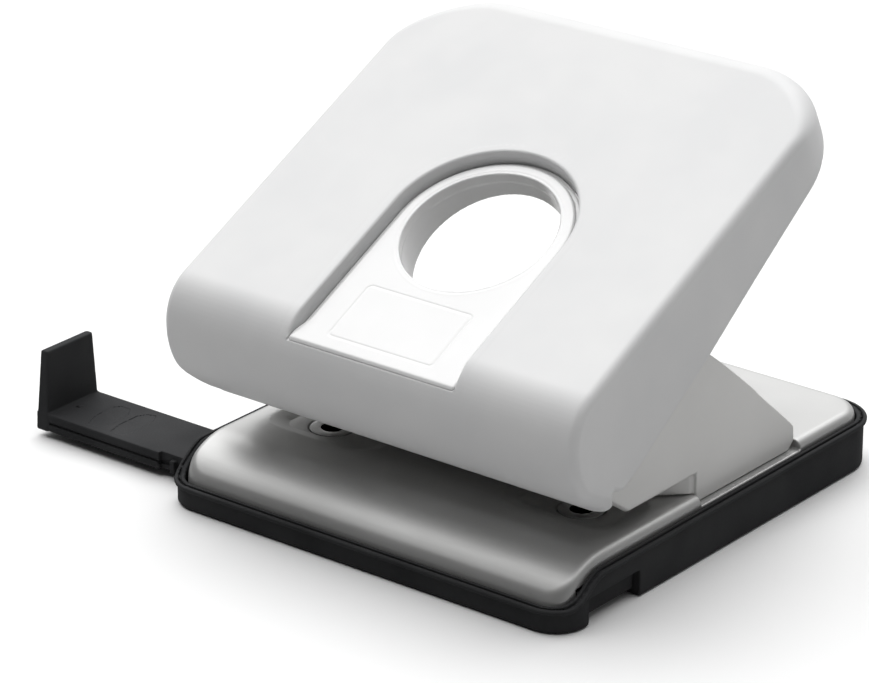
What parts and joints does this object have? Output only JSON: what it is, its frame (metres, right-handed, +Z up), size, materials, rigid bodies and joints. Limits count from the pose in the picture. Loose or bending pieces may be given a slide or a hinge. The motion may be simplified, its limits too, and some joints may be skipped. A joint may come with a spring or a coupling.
{
  "type": "hole punch",
  "caption": "Desk hole punch: a raised lever handle with a finger hole drives punch pins through a paper throat, over a silver table, a black chip tray and a sliding paper guide.",
  "frame": {"origin": "on the resting surface, under the centre of the chip tray", "axes": "+Z up, +Y away from the user towards the rear, +X to the user's right, along the pivot shaft and the paper guide"},
  "size_m": [0.1832, 0.1396, 0.1107],
  "materials": {
    "black_plastic": "fine satin",
    "silver_painted_steel": "satin metallic",
    "grey_painted_steel": "satin",
    "bright_steel": "bright",
    "hardened_steel": "ground",
    "spring_steel": "drawn wire",
    "sintered_bronze": "matte",
    "white_plastic": "satin",
    "gloss_white_plastic": "gloss"
  },
  "bodies": {
    "base": {"base_plate": "silver_painted_steel", "punch_frame": "grey_painted_steel", "frame_rivet_front_left": "bright_steel", "frame_rivet_front_right": "bright_steel", "frame_rivet_rear_left": "bright_steel", "frame_rivet_rear_right": "bright_steel", "pin_guide_left": "bright_steel", "pin_guide_right": "bright_steel", "spring_washer_left": "bright_steel", "spring_washer_right": "bright_steel", "return_spring_left": "spring_steel", "return_spring_right": "spring_steel", "die_bush_left": "hardened_steel", "die_bush_right": "hardened_steel", "pivot_bush_left": "sintered_bronze", "pivot_bush_right": "sintered_bronze"},
    "handle": {"handle_shell": "white_plastic", "handle_insert": "gloss_white_plastic", "pivot_shaft": "bright_steel", "press_rod": "bright_steel"},
    "pin_left": {"punch_pin_left": "hardened_steel"},
    "pin_right": {"punch_pin_right": "hardened_steel"},
    "tray": {"chip_tray": "black_plastic"},
    "guide": {"paper_guide": "black_plastic"}
  },
  "joints": [
    {"name": "handle_press", "type": "hinge", "parent": "base", "child": "handle", "pos_m": [0, -0.05, 0.04], "axis": [-1, 0, 0], "range_deg": [0, 25.78], "stiffness_Nm_per_rad": 0.6, "springref_deg": -28.65},
    {"name": "pin_left_stroke", "type": "slide", "parent": "base", "child": "pin_left", "axis": [0, 0, -1], "range_m": [0, 0.0085], "deforming": ["return_spring_left"]},
    {"name": "pin_right_stroke", "type": "slide", "parent": "base", "child": "pin_right", "axis": [0, 0, -1], "range_m": [0, 0.0085], "deforming": ["return_spring_right"]},
    {"name": "tray_opening", "type": "hinge", "parent": "base", "child": "tray", "pos_m": [0, 0.0688, 0.0123], "axis": [1, 0, 0], "range_deg": [0, 40]},
    {"name": "guide_slide", "type": "slide", "parent": "tray", "child": "guide", "axis": [1, 0, 0], "range_m": [-0.035, 0.049]}
  ],
  "couplings": [
    {"joint": "pin_left_stroke", "follows": "handle_press", "m_per_rad": 0.018889},
    {"joint": "pin_right_stroke", "follows": "handle_press", "m_per_rad": 0.018889}
  ]
}
